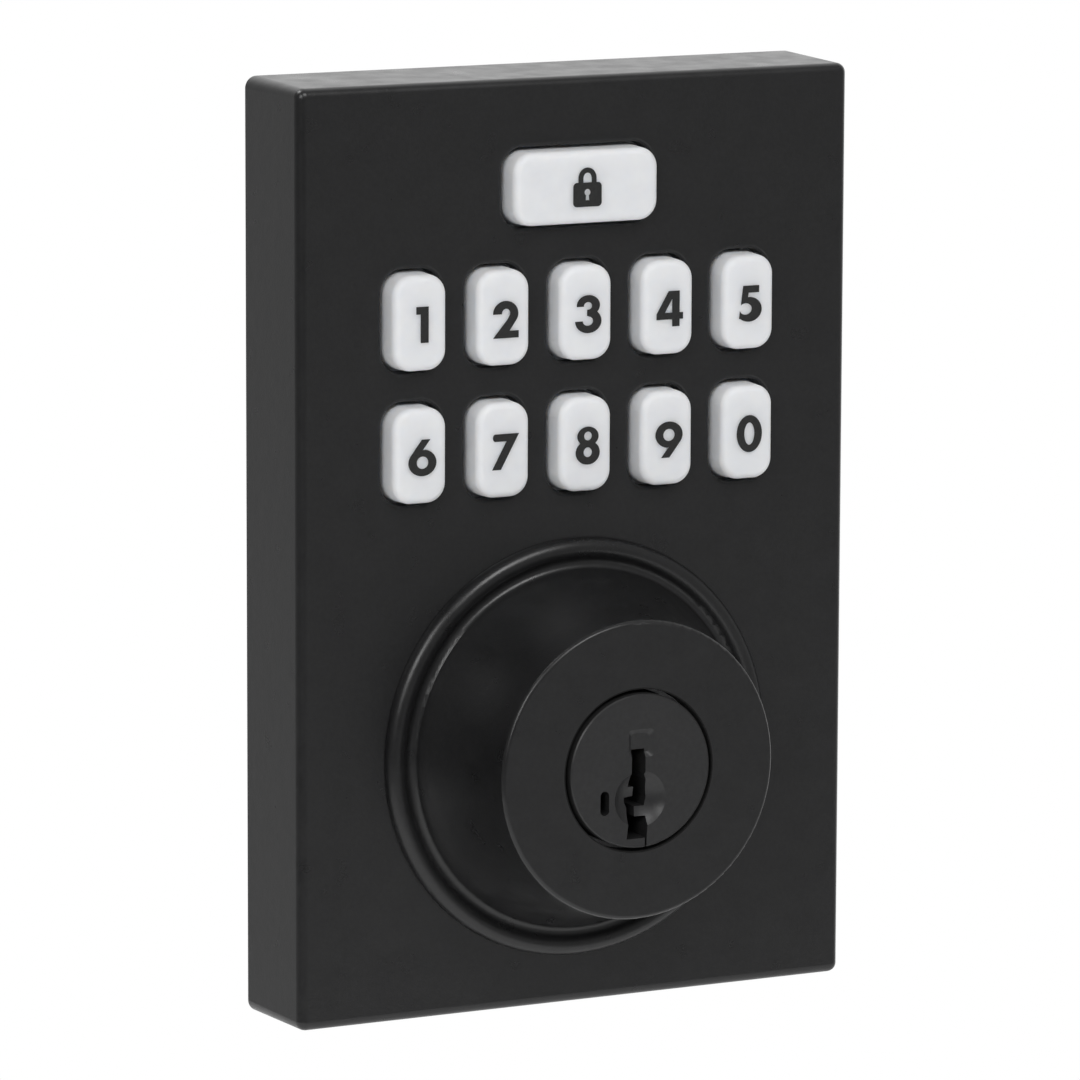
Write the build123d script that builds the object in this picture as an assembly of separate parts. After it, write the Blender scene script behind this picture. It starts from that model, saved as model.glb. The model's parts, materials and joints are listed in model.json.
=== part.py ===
"""Keypad deadbolt, outside unit: die-cast housing with ten keys, a lock button and a key cylinder.

Frame: millimetres, +Z up, +X right as seen from outside, +Y into the door.  The origin is on the
cylinder's axis, in the plane where the housing meets the door.  Depths are counted outwards from
the door, so depth d is the plane y = -d, and what lies inside the door has a negative depth.
"""
from build123d import *
from math import atan, cos, degrees, radians, sin, sqrt
import os

OVER = 1.0                # how far a cutting shape runs past what it cuts

# ---- housing
HOUSING_W = 66.5
HOUSING_H = 101.6
AXIS_UP = 28.6            # height of the cylinder's axis above the housing's lower edge
HOUSING_D = 12.6          # door face to the flat front face
HOUSING_CORNER = 1.3
DRAFT = 0.30              # how far each side leans in over that depth
EDGE_R = 1.0
SIDE_WALL = 2.8
FRONT_WALL = 2.2
SEAL_W = 1.4
SEAL_D = 1.2

# ---- turned collar round the cylinder
COLLAR_D = 14.7           # height of the collar above the front face
COLLAR_RIM_R = 16.2
COLLAR_RIM_ROUND = 0.45
COLLAR_HOLE_R = 8.8
COLLAR_CAP = 3.2          # thickness of the collar's face
COLLAR_CORE_R = 12.6      # inside radius, just behind that face
COLLAR_MOUTH_R = 17.2     # inside radius, at the housing's front wall
BEAD_R = 21.75            # crest radius of the bead
BEAD_D = 1.25
BEAD_ROUND = 1.2          # radius of the bead's own section
COVE_D = 0.6              # the hollow between bead and collar, above the front face
COVE_ROUND = 0.8
FLARE_LEAN = 30.0         # degrees from the axis, at the foot of the flare

# ---- keys
KEY_W = 6.5
KEY_H = 10.5
KEY_CORNER = 2.3
KEY_PROUD = 2.2
COLUMN_PITCH = 9.86
ROW_1_Z = 47.57
ROW_2_Z = 33.36
LOCK_W = 17.5
LOCK_H = 8.1
LOCK_Z = 61.07
KEY_GAP = 0.32            # key to window, each side
WINDOW_ROUND = 0.45
TOP_ROUND = 0.75
KEY_DRAFT = 2.0           # degrees
KEY_SKIN = 1.0
KEY_ROOF = 1.3
STEM_R = 1.5
FLANGE_OUT = 0.85         # retaining flange beyond the key, each side
FLANGE_D0 = 9.45          # back of the flange; 0.9 mm of travel is left in front of it
FLANGE_T = 0.8
FLANGE_GAP = 0.3

# ---- keypad electronics, as depths from the door
SHEET_BACK = 7.4
SHEET_FRONT = 8.2
DOME_RISE = 1.2
BOARD_T = 1.6
BOARD_W = 58.8
BOARD_TOP_W = 45.0
BOARD_Z0 = 24.2
BOARD_STEP_Z = 58.0
BOARD_Z1 = 69.3
FRAME_EDGE = 1.2
BOARD_SCREWS = [(-27.3, 28.2), (27.3, 28.2), (-18.0, 63.6), (18.0, 63.6)]
BOARD_SCREW_R = 0.85
CHIP_T = 1.1
SOUNDER_AT = (8.0, 58.0)
LAMP_X = 5.2              # the lock button's two lamps
LAMP_DOWN = 6.75

# ---- back plate, posts and bracket
PLATE_BACK = 0.5
PLATE_T = 1.5
PLATE_GAP = 0.25
PLATE_HOLE_R = 12.4
PLATE_SCREWS = [(-26.4, -21.6), (26.4, -21.6), (-26.4, 66.2), (26.4, 66.2)]
PLATE_SCREW_R = 1.25
PLATE_SCREW_HEAD_R = 2.8
POST_SPACING = 38.0
POST_TAP_R = 2.1          # tapping hole of an M5 through-bolt
POST_NECK_R = 2.9
POST_OUT = 9.0            # how far a post reaches into the door
BRACKET_SCREW_Z = 19.0
BRACKET_SCREW_R = 1.25
BRACKET_BACK = 4.0
BRACKET_T = 1.6
BOSS_R = 3.4              # bosses for the bracket's screws
CABLE_X = 13.8
CABLE_Z = 15.6
CABLE_W = 9.0
CABLE_H = 6.0

# ---- cylinder: shell and plug
SHELL_BORE_R = 8.42
SHELL_R = 11.2
SHELL_FRONT = 24.5
SHELL_BACK = -1.0
SHELL_FLANGE_R = 13.6
PLUG_R = 8.35
PLUG_PROUD = 0.35
PLUG_CHAMFER = 0.18
PLUG_BACK = -2.6          # depth of the plug's rear face: inside the door's bore
PLUG_CLIP_D = -1.5
PLUG_CLIP_ROOT_R = 7.2
PLUG_CLIP_R = 9.9
PLUG_CLIP_T = 0.7

# ---- what is cut into the plug's face
KEYWAY_LENGTH = 27.0
RECESS_SIZE = 3.05        # square recess with sloping sides: size in the face, and of its floor
RECESS_FLOOR = 2.1
RECESS_CORNER = 0.45
RECESS_X = 0.1
RECESS_Z = 3.0
RECESS_DEPTH = 0.33
DISH_R = 3.05
DISH_DEPTH = 1.2
DISH_Z = -3.05
TOOL_X = -4.25            # slot for the re-keying tool
TOOL_Z = -3.17
TOOL_W = 1.05
TOOL_H = 2.65
SLIT_X = 0.68             # fine line left by the broach, from the keyway to the plug's edge
SLIT_W = 0.24
SLIT_DEPTH = 0.5
GUARD_X = (-3.2, 3.4)     # hardened pins across the plug
GUARD_R = 0.9
GUARD_T = 2.2

# ---- pins and racks; t is a distance back from the plug's face
PIN_COUNT = 5
PIN_PITCH = 3.81
PIN_FIRST_T = 6.3
PIN_X = 0.2
PIN_R = 1.2
PIN_ROOT_R = 0.85
PIN_PLAY = 0.08           # pin to chamber
PIN_FLOOR_Z = -0.9
PIN_REST = 0.05           # the resting pin stands this far above its floor
PIN_LENGTH = 4.75
PIN_NOSE = 1.6
TOOTH_PITCH = 0.6         # the pins' lift of 1.8 mm is three teeth
TOOTH_Z0 = -0.3
PIN_TEETH = 7
RACK_TEETH = 5
RACK_SHIFT = 1.9          # how far the carriage stands behind its engaged place
RACK_T = 1.0
RACK_X0 = -4.6
RACK_Z0 = -2.8
RACK_Z1 = 3.9
NOTCH_HALF = 0.75         # V notch that takes the sidebar's edge
NOTCH_DEEP = 0.8
POCKET_T0 = 4.6           # the carriage's pocket in the plug
POCKET_T1 = 24.4
CARRIAGE_X0 = -5.4
CARRIAGE_X1 = -2.5
CARRIAGE_Z0 = -5.0
CARRIAGE_Z1 = 4.4
CHAMBER_T = (4.5, 23.4)   # milled flat over the pin chambers
SPRING_COVER_Z = 7.5
SPRING_COVER_T = 0.55
RETURN_X = -3.9           # the carriage's return spring
RETURN_Z = 2.6
RETURN_LENGTH = 2.9

# ---- sidebar
SIDEBAR_HALF = 0.6
SIDEBAR_PLAY = 0.05
SIDEBAR_EDGE_X = -3.95    # inner edge, standing in the racks' notches
SIDEBAR_STEP_X = -7.15    # where the blade meets the longer outer nose
SIDEBAR_NOSE_X = -8.2
SIDEBAR_BLADE_T = (5.2, 24.0)
SIDEBAR_NOSE_T = (2.9, 26.1)
SIDEBAR_SPRING_T = (3.9, 25.2)

# ---- tailpiece
TAIL_END = 52.0
TAIL_W = 6.2
TAIL_T = 2.4
TAIL_HEAD_R = 4.6
TAIL_HEAD_T = 1.3
TAIL_LUG_R = 6.2
TAIL_LUG_HALF = 15.0      # degrees each side
TAIL_PLAY = 0.2
LOST_MOTION = 90.0        # degrees the plug turns before it takes the tailpiece with it
COVER_R = 7.6
COVER_HOLE_R = 3.6
COVER_T = 1.0
COVER_SCREW_R = 6.3
COVER_SCREW_ANGLES = (150.0, 260.0)

FACE_D = HOUSING_D
COLLAR_FACE_D = HOUSING_D + COLLAR_D
PLUG_FACE_D = COLLAR_FACE_D + PLUG_PROUD
CENTRE_Z = HOUSING_H / 2 - AXIS_UP
CAVITY_W = HOUSING_W - 2 * SIDE_WALL
CAVITY_H = HOUSING_H - 2 * SIDE_WALL
CAVITY_D = HOUSING_D - FRONT_WALL
KEY_TOP_D = FACE_D + KEY_PROUD
BOARD_BACK = SHEET_BACK - BOARD_T
PLATE_FRONT = PLATE_BACK + PLATE_T
BRACKET_FRONT = BRACKET_BACK + BRACKET_T
PIN_BASE_Z = PIN_FLOOR_Z + PIN_REST
SIDES = (-1, 1)
KEY_NAMES = ["1", "2", "3", "4", "5", "6", "7", "8", "9", "0"]
KEY_PLACES = {
    name: ((i % 5 - 2) * COLUMN_PITCH, ROW_1_Z if i < 5 else ROW_2_Z)
    for i, name in enumerate(KEY_NAMES)
}
ALL_PLACES = [(x, z, KEY_W, KEY_H) for x, z in KEY_PLACES.values()] + [(0.0, LOCK_Z, LOCK_W, LOCK_H)]
BRACKET_PLACES = [(0.0, -BRACKET_SCREW_Z), (0.0, BRACKET_SCREW_Z)]


# ---- shared shapes
def at_depth(depth):
    """Plane at a depth from the door, facing outwards: local x is +X and local y is +Z."""
    return Plane.XZ.offset(depth)


def slab(sketch, back, front):
    """A flat shape between two depths."""
    return extrude(at_depth(back) * sketch, amount=front - back)


def disc(radius, back, front, x=0.0, z=0.0):
    return slab(Pos(x, z) * Circle(radius), back, front)


def ring(outer, inner, back, front):
    return slab(Circle(outer) - Circle(inner), back, front)


def block(x0, x1, z0, z1, back, front):
    return slab(Pos((x0 + x1) / 2, (z0 + z1) / 2) * Rectangle(x1 - x0, z1 - z0), back, front)


def plug_block(x0, x1, z0, z1, t0, t1):
    """A block whose depth is counted back from the plug's face."""
    return block(x0, x1, z0, z1, PLUG_FACE_D - t1, PLUG_FACE_D - t0)


def plug_slab(sketch, t0, t1):
    """A flat shape between two distances back from the plug's face."""
    return slab(sketch, PLUG_FACE_D - t1, PLUG_FACE_D - t0)


def upright(radius, x, depth, z0, z1):
    """A vertical cylinder."""
    return Pos(x, -depth, z0) * extrude(Circle(radius), amount=z1 - z0)


def polar(radius, angle):
    return radius * cos(radians(angle)), radius * sin(radians(angle))


def sector(radius, start, end):
    """A slice of a disc, between two angles in degrees."""
    first = polar(radius, start)
    last = polar(radius, end)
    edge = ThreePointArc(first, polar(radius, (start + end) / 2), last)
    return make_face(Curve() + [Line((0, 0), first), edge, Line(last, (0, 0))])


def rounded(width, height, corner):
    return RectangleRounded(width, height, corner)


def slot(ease=0.0):
    """The cable's way out, grown all round by half of ease."""
    return Pos(CABLE_X, CABLE_Z) * SlotOverall(CABLE_W + ease, CABLE_H + ease)


def merged(solids):
    return Compound(children=list(solids))


def spring(radius, wire, length, turns):
    """A round-wire spring standing on the origin, along +Z."""
    rise = length - wire
    path = Helix(pitch=rise / turns, height=rise, radius=radius)
    section = Plane(origin=path @ 0, z_dir=path % 0) * Circle(wire / 2)
    return Pos(0, 0, wire / 2) * sweep(section, path=path)


def cross_recess(size):
    width = size * 0.24
    return Rectangle(size, width) + Rectangle(width, size)


def pan_screw(head_r, head_t, shank_r, length, cross):
    """A cross-recess screw with its head on +Z, seated at z = 0."""
    head = extrude(Circle(head_r), amount=head_t)
    head = fillet(head.edges().filter_by(GeomType.CIRCLE).sort_by(Axis.Z)[-1], head_t * 0.45)
    head -= Pos(0, 0, head_t * 0.45) * extrude(cross_recess(cross), amount=head_t)
    return head + Pos(0, 0, -length) * extrude(Circle(shank_r), amount=length)


def flat_screw(head_r, head_t, shank_r, length, cross):
    """A countersunk cross-recess screw whose head is flush with z = 0."""
    head = Pos(0, 0, -head_t / 2) * Cone(shank_r, head_r, head_t)
    head -= Pos(0, 0, -head_t * 0.55) * extrude(cross_recess(cross), amount=head_t)
    return head + Pos(0, 0, -length) * extrude(Circle(shank_r), amount=length - head_t)


def facing_door(x, z, depth):
    """Place for a screw put in from the door's side: its +Z becomes +Y."""
    return Pos(x, -depth, z) * Rot(-90, 0, 0)


def facing_out(x, z, depth):
    """Place for a piece that stands on a depth and rises outwards: its +Z becomes -Y."""
    return Pos(x, -depth, z) * Rot(90, 0, 0)


def place_shape(grow):
    """The key outlines, each grown by a distance, as one sketch."""
    shape = Sketch()
    for x, z, width, height in ALL_PLACES:
        shape += Pos(x, z) * rounded(width + 2 * grow, height + 2 * grow, KEY_CORNER + grow)
    return shape


# ---- housing
def collar_outside():
    """Bead, cove and flared collar, turned about the axis, down to just inside the front wall.

    The bead's arc, the cove's arc and the flare follow on from each other without a kink, and the
    flare ends parallel to the axis.
    """
    base = FACE_D - 1.0
    bead_up = BEAD_D - BEAD_ROUND
    cove_up = COVE_D + COVE_ROUND
    reach = BEAD_ROUND + COVE_ROUND
    cove_r = BEAD_R - sqrt(reach ** 2 - (cove_up - bead_up) ** 2)
    share = BEAD_ROUND / reach
    meet = (BEAD_R + (cove_r - BEAD_R) * share, -(FACE_D + bead_up + (cove_up - bead_up) * share))
    foot = (BEAD_R + sqrt(BEAD_ROUND ** 2 - bead_up ** 2), -FACE_D)
    bottom = (cove_r, -(FACE_D + COVE_D))
    lean_x = sin(radians(FLARE_LEAN))
    lean_y = cos(radians(FLARE_LEAN))
    flare_foot = (cove_r - COVE_ROUND * lean_y, -(FACE_D + COVE_D + COVE_ROUND * (1 - lean_x)))
    rim_low = (COLLAR_RIM_R, -(COLLAR_FACE_D - COLLAR_RIM_ROUND))
    rim_top = (COLLAR_RIM_R - COLLAR_RIM_ROUND, -COLLAR_FACE_D)
    bead = ThreePointArc(foot, (BEAD_R, -(FACE_D + BEAD_D)), meet)
    cove = ThreePointArc(meet, bottom, flare_foot)
    flare = Spline(flare_foot, rim_low, tangents=[(-lean_x, -lean_y), (0, -1)])
    rim = TangentArc(rim_low, rim_top, tangent=(0, -1))
    rest = Polyline(rim_top, (0, -COLLAR_FACE_D), (0, -base), (foot[0], -base), foot)
    return revolve(make_face(Curve() + [bead, cove, flare, rim, rest]), Axis.Y)


def collar_inside():
    """The hollow that holds the cylinder's shell, open to the door, from (radius, depth) points."""
    inner_cap = COLLAR_FACE_D - COLLAR_CAP
    seat = inner_cap + 0.9
    points = [
        (0, CAVITY_D - 0.5),
        (COLLAR_MOUTH_R, CAVITY_D - 0.5),
        (COLLAR_MOUTH_R, CAVITY_D + 0.4),
        (COLLAR_CORE_R + 1.2, CAVITY_D + 5.5),
        (COLLAR_CORE_R, inner_cap),
        (SHELL_R + 0.15, inner_cap),
        (SHELL_R + 0.15, seat),
        (0, seat),
    ]
    outline = Polyline(*[(radius, -depth) for radius, depth in points], close=True)
    return revolve(make_face(outline), Axis.Y)


def drafted_box():
    """The housing's leaning sides and rounded front edges, before anything is cut."""
    taper = degrees(atan(DRAFT / HOUSING_D))
    outline = Pos(0, CENTRE_Z) * rounded(HOUSING_W, HOUSING_H, HOUSING_CORNER)
    body = extrude(at_depth(0) * outline, amount=HOUSING_D, taper=taper)
    return fillet(body.faces().sort_by(Axis.Y)[0].edges(), EDGE_R)


def window_rims(body):
    """Edges where the key windows meet the flat front face."""
    flat = body.edges().filter_by_position(Axis.Y, -FACE_D - 0.01, -FACE_D + 0.01)
    return [
        edge for edge in flat
        if any(abs(edge.center().X - x) < w / 2 + 1 and abs(edge.center().Z - z) < h / 2 + 1
               for x, z, w, h in ALL_PLACES)
    ]


def housing():
    body = drafted_box()
    body -= slab(Pos(0, CENTRE_Z) * rounded(CAVITY_W, CAVITY_H, 1.0), 0, CAVITY_D)
    body += collar_outside()
    body -= slab(place_shape(KEY_GAP), CAVITY_D - OVER, FACE_D + OVER)
    body = fillet(window_rims(body), WINDOW_ROUND)
    into_wall = CAVITY_D + 0.5
    bosses = [(PLATE_SCREWS, 3.0, PLATE_FRONT), (BOARD_SCREWS, 1.85, SHEET_BACK),
              (BRACKET_PLACES, BOSS_R, BRACKET_FRONT)]
    for places, radius, foot in bosses:
        for x, z in places:
            body += disc(radius, foot, into_wall, x, z)
    body -= collar_inside()
    body -= disc(COLLAR_HOLE_R, COLLAR_FACE_D - COLLAR_CAP - OVER, COLLAR_FACE_D + OVER)
    holes = [(PLATE_SCREWS, PLATE_SCREW_R, PLATE_FRONT, CAVITY_D - 0.8),
             (BOARD_SCREWS, BOARD_SCREW_R, SHEET_BACK, CAVITY_D - 0.2),
             (BRACKET_PLACES, BRACKET_SCREW_R, BRACKET_FRONT, CAVITY_D + 0.6)]
    for places, radius, foot, end in holes:
        for x, z in places:
            body -= disc(radius, foot - OVER, end, x, z)
    return body - seal_shape(0.0)


def seal_shape(ease):
    """Rectangular ring set into the housing's rear rim."""
    middle_w = HOUSING_W - SIDE_WALL
    middle_h = HOUSING_H - SIDE_WALL
    half = SEAL_W / 2 - ease
    outer = rounded(middle_w + 2 * half, middle_h + 2 * half, 1.2)
    inner = rounded(middle_w - 2 * half, middle_h - 2 * half, 0.6)
    return slab(Pos(0, CENTRE_Z) * (outer - inner), 0, SEAL_D - ease)


# ---- keys
def key_cap(x, z, width, height):
    """A hollow translucent cap with a retaining flange and a stem for the dome behind it."""
    outline = Pos(x, z) * rounded(width, height, KEY_CORNER)
    flange_front = FLANGE_D0 + FLANGE_T
    cap = extrude(at_depth(flange_front) * outline, amount=KEY_TOP_D - flange_front, taper=KEY_DRAFT)
    cap = fillet(cap.faces().sort_by(Axis.Y)[0].edges(), TOP_ROUND)
    flange = rounded(width + 2 * FLANGE_OUT, height + 2 * FLANGE_OUT, KEY_CORNER + FLANGE_OUT)
    cap += slab(Pos(x, z) * flange, FLANGE_D0, flange_front)
    hollow = rounded(width - 2 * KEY_SKIN, height - 2 * KEY_SKIN, KEY_CORNER - KEY_SKIN)
    cap -= slab(Pos(x, z) * hollow, FLANGE_D0, KEY_TOP_D - KEY_ROOF)
    return cap + disc(STEM_R, FLANGE_D0, KEY_TOP_D - 1.0, x, z)


# ---- keypad electronics
def pad_outline(ease):
    """The T shape shared by the key frame and the dome sheet."""
    margin = FLANGE_OUT + FLANGE_GAP + FRAME_EDGE - ease
    reach_x = 2 * COLUMN_PITCH + KEY_W / 2 + margin
    low = ROW_2_Z - KEY_H / 2 - margin
    shoulder = ROW_1_Z + KEY_H / 2 + margin
    top = LOCK_Z + LOCK_H / 2 + margin
    neck = LOCK_W / 2 + margin
    wide = Pos(0, (low + shoulder) / 2) * Rectangle(2 * reach_x, shoulder - low)
    return wide + Pos(0, (low + top) / 2) * Rectangle(2 * neck, top - low)


def led_places():
    """Lamps between the columns, and one each side of the lock button."""
    lamps = [((i - 1.5) * COLUMN_PITCH, (ROW_1_Z + ROW_2_Z) / 2) for i in range(4)]
    return lamps + [(side * LAMP_X, LOCK_Z - LAMP_DOWN) for side in SIDES]


def key_frame():
    frame = slab(pad_outline(0.0), SHEET_FRONT, CAVITY_D)
    return frame - slab(place_shape(FLANGE_OUT + FLANGE_GAP), SHEET_FRONT - OVER, CAVITY_D + OVER)


def dome_sheet():
    """Silicone mat: a raised dome with a hollow behind it under every key."""
    sheet = slab(pad_outline(0.2), SHEET_BACK, SHEET_FRONT)
    for x, z, _, _ in ALL_PLACES:
        sheet += facing_out(x, z, SHEET_FRONT) * Pos(0, 0, DOME_RISE / 2) * Cone(2.7, 1.7, DOME_RISE)
        sheet -= disc(2.3, SHEET_BACK - OVER, SHEET_BACK + 0.7, x, z)
    for x, z in led_places():
        sheet -= block(x - 1.3, x + 1.3, z - 0.9, z + 0.9, SHEET_BACK - OVER, SHEET_FRONT + OVER)
    return sheet


def contact_domes():
    """Shallow metal snap domes on the board, one behind every key."""
    rise = 0.25
    cap = Pos(0, 0, rise / 2) * Cylinder(2.0, rise)
    cap = chamfer(cap.edges().filter_by(GeomType.CIRCLE).sort_by(Axis.Z)[-1], 0.18)
    return merged(facing_out(x, z, SHEET_BACK) * cap for x, z, _, _ in ALL_PLACES)


def leds():
    half_w = 0.9
    half_h = 0.45
    return merged(
        block(x - half_w, x + half_w, z - half_h, z + half_h, SHEET_BACK, SHEET_BACK + 0.6)
        for x, z in led_places()
    )


def keypad_board():
    lower = Pos(0, (BOARD_Z0 + BOARD_STEP_Z) / 2) * Rectangle(BOARD_W, BOARD_STEP_Z - BOARD_Z0)
    upper = Pos(0, (BOARD_Z0 + BOARD_Z1) / 2) * Rectangle(BOARD_TOP_W, BOARD_Z1 - BOARD_Z0)
    board = slab(lower + upper, BOARD_BACK, SHEET_BACK)
    for x, z in BOARD_SCREWS:
        board -= disc(1.2, BOARD_BACK - OVER, SHEET_BACK + OVER, x, z)
    return board


def board_screws():
    screw = pan_screw(head_r=1.9, head_t=1.2, shank_r=BOARD_SCREW_R, length=4.2, cross=1.9)
    return merged(facing_door(x, z, BOARD_BACK) * screw for x, z in BOARD_SCREWS)


def controller_chips():
    """The processor, its memory and the lamp driver, black packages on the board's rear."""
    processor = block(-12.0, -2.0, 40.0, 50.0, BOARD_BACK - CHIP_T - 0.1, BOARD_BACK)
    memory = block(6.0, 11.0, 42.0, 46.0, BOARD_BACK - CHIP_T, BOARD_BACK)
    driver = block(-20.5, -16.5, 31.5, 36.5, BOARD_BACK - CHIP_T, BOARD_BACK)
    return merged([processor, memory, driver])


def board_capacitors():
    """Small box-shaped capacitors: a row below the processor and two larger ones beside it."""
    small = [block(x - 0.8, x + 0.8, 36.0, 37.0, BOARD_BACK - 0.8, BOARD_BACK) for x in range(-11, 2, 3)]
    large = [block(14.0, 16.4, z - 1.6, z + 1.6, BOARD_BACK - 1.6, BOARD_BACK) for z in (40.0, 46.0)]
    return merged(small + large)


def sounder():
    """A round beeper with a sound hole, on the board's rear."""
    rear = BOARD_BACK - 2.6
    return disc(5.0, rear, BOARD_BACK, *SOUNDER_AT) - disc(0.9, rear - 0.4, rear + 1.0, *SOUNDER_AT)


def cable_socket():
    """Board socket for the lead to the inside unit, its mouth facing down."""
    body = block(-5.5, 5.5, 27.0, 32.0, BOARD_BACK - 3.2, BOARD_BACK)
    return body - block(-4.7, 4.7, 26.0, 30.6, BOARD_BACK - 2.6, BOARD_BACK - 0.6)


# ---- back plate and fixings
def back_plate():
    """Sheet steel cover, with holes for what passes through it and a shallow pressed frame."""
    width = CAVITY_W - 2 * PLATE_GAP
    height = CAVITY_H - 2 * PLATE_GAP
    plate = slab(Pos(0, CENTRE_Z) * rounded(width, height, 1.0), PLATE_BACK, PLATE_FRONT)
    holes = Circle(PLATE_HOLE_R) + slot(3.0)
    for side in SIDES:
        holes += Pos(side * POST_SPACING / 2, 0) * Circle(POST_NECK_R + 0.1)
    plate -= slab(holes, PLATE_BACK - OVER, PLATE_FRONT + OVER)
    sink = Cone(PLATE_SCREW_R + 0.35, PLATE_SCREW_HEAD_R + 0.2, PLATE_T)
    for x, z in PLATE_SCREWS:
        plate -= facing_door(x, z, PLATE_BACK + PLATE_T / 2) * sink
    pressed = Pos(0, 47.0) * (rounded(40.0, 26.0, 3.0) - rounded(37.0, 23.0, 1.5))
    return plate - slab(pressed, PLATE_BACK - 0.1, PLATE_BACK + 0.5)


def plate_screws():
    screw = flat_screw(head_r=PLATE_SCREW_HEAD_R, head_t=1.35, shank_r=PLATE_SCREW_R, length=7.0, cross=2.4)
    return merged(facing_door(x, z, PLATE_BACK) * screw for x, z in PLATE_SCREWS)


def mounting_posts():
    """Two tapped posts riveted to the back plate; the bolts through the door screw into them."""
    rivet_r = 4.6
    rivet_t = 1.3
    posts = []
    for side in SIDES:
        x = side * POST_SPACING / 2
        post = disc(rivet_r, PLATE_FRONT, PLATE_FRONT + rivet_t, x)
        post += disc(POST_NECK_R, PLATE_BACK, PLATE_FRONT, x)
        post += slab(Pos(x, 0) * RegularPolygon(4.0, 6), -POST_OUT, PLATE_BACK)
        posts.append(post - disc(POST_TAP_R, -POST_OUT - OVER, PLATE_FRONT + 0.3, x))
    return merged(posts)


def cable_grommet():
    """Rubber lining of the cable's way out, with a groove that grips the plate."""
    lip = 1.0
    body = slab(slot(2.9), PLATE_BACK, PLATE_FRONT)
    body += slab(slot(5.0), PLATE_FRONT, PLATE_FRONT + lip)
    body += slab(slot(5.0), PLATE_BACK - lip, PLATE_BACK)
    return body - slab(slot(), PLATE_BACK - lip - OVER, PLATE_FRONT + lip + OVER)


def cylinder_bracket():
    """Steel strap over the shell's flange, screwed to two bosses in the housing."""
    outline = rounded(18.0, 2 * BRACKET_SCREW_Z + 9.0, 3.0) + Circle(15.0)
    strap = slab(outline, BRACKET_BACK, BRACKET_FRONT)
    strap -= disc(SHELL_R + 0.2, BRACKET_BACK - OVER, BRACKET_FRONT + OVER)
    for x, z in BRACKET_PLACES:
        strap -= disc(BRACKET_SCREW_R + 0.4, BRACKET_BACK - OVER, BRACKET_FRONT + OVER, x, z)
    return strap


def bracket_screws():
    screw = pan_screw(head_r=2.7, head_t=1.6, shank_r=BRACKET_SCREW_R, length=6.0, cross=2.6)
    return merged(facing_door(x, z, BRACKET_BACK) * screw for x, z in BRACKET_PLACES)


# ---- cylinder shell
def cylinder_shell():
    """Die-cast sleeve with a flange behind the bracket and a groove for the sidebar."""
    shell = disc(SHELL_R, SHELL_BACK, SHELL_FRONT)
    shell += disc(SHELL_FLANGE_R, BRACKET_FRONT, BRACKET_FRONT + 1.6)
    shell -= disc(SHELL_BORE_R, SHELL_BACK - OVER, SHELL_FRONT + OVER)
    groove = Polyline((-8.0, 1.25), (-9.3, 0.6), (-9.3, -0.6), (-8.0, -1.25), close=True)
    return shell - plug_slab(make_face(groove), 2.6, 26.4)


def face_seal():
    return ring(SHELL_R - 0.1, COLLAR_HOLE_R + 0.3, SHELL_FRONT, SHELL_FRONT + 0.5)


# ---- plug
def pin_times():
    """Distance of each pin behind the plug's face."""
    return [PIN_FIRST_T + PIN_PITCH * i for i in range(PIN_COUNT)]


def keyway_outline():
    """The slot that the key slides in, with a ward on each side."""
    return make_face(Polyline(
        (-1.00, 2.35), (0.60, 2.35), (0.62, -0.47), (0.98, -1.12), (1.18, -3.10), (0.95, -4.00),
        (-0.19, -4.00), (-0.36, -5.03), (0.95, -5.03), (0.80, -7.30), (-1.62, -7.30), (-1.22, -4.05),
        (-1.48, -3.45), (-1.48, -2.95), (-0.36, -2.88), (-0.32, -1.86), (-1.08, -1.80), (-1.05, -0.67),
        close=True))


def square_recess():
    """Shallow square recess round the top of the keyway, narrower at its floor."""
    wide = 2 * RECESS_SIZE - RECESS_FLOOR
    sizes = [(wide, PLUG_FACE_D + RECESS_DEPTH), (RECESS_FLOOR, PLUG_FACE_D - RECESS_DEPTH)]
    return loft([
        at_depth(depth) * Pos(RECESS_X, RECESS_Z) * rounded(size, size, RECESS_CORNER)
        for size, depth in sizes
    ])


def face_details():
    """What is cut into the plug's face: keyway, coin-shaped dish, square recess and tool slot."""
    dish_ball_r = (DISH_R ** 2 + DISH_DEPTH ** 2) / (2 * DISH_DEPTH)
    tool = Pos(TOOL_X, TOOL_Z) * Rot(0, 0, 90) * SlotOverall(TOOL_H, TOOL_W)
    cuts = plug_slab(keyway_outline(), -OVER, KEYWAY_LENGTH)
    cuts += Pos(0, -(PLUG_FACE_D - DISH_DEPTH + dish_ball_r), DISH_Z) * Sphere(dish_ball_r)
    cuts += square_recess()
    cuts += plug_block(SLIT_X - SLIT_W / 2, SLIT_X + SLIT_W / 2, -PLUG_R - OVER, -7.2, -OVER, SLIT_DEPTH)
    return cuts + plug_slab(tool, -OVER, POCKET_T0 + 0.5)


def tail_pocket():
    """Round pocket with a wide sector, in which the tailpiece's lug can turn freely."""
    spare = 2.0
    first = -TAIL_LUG_HALF - spare
    last = LOST_MOTION + TAIL_LUG_HALF + spare
    outline = Circle(TAIL_HEAD_R + TAIL_PLAY) + sector(TAIL_LUG_R + TAIL_PLAY, first, last)
    return slab(outline, PLUG_BACK - OVER, PLUG_BACK + 1.6)


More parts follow.
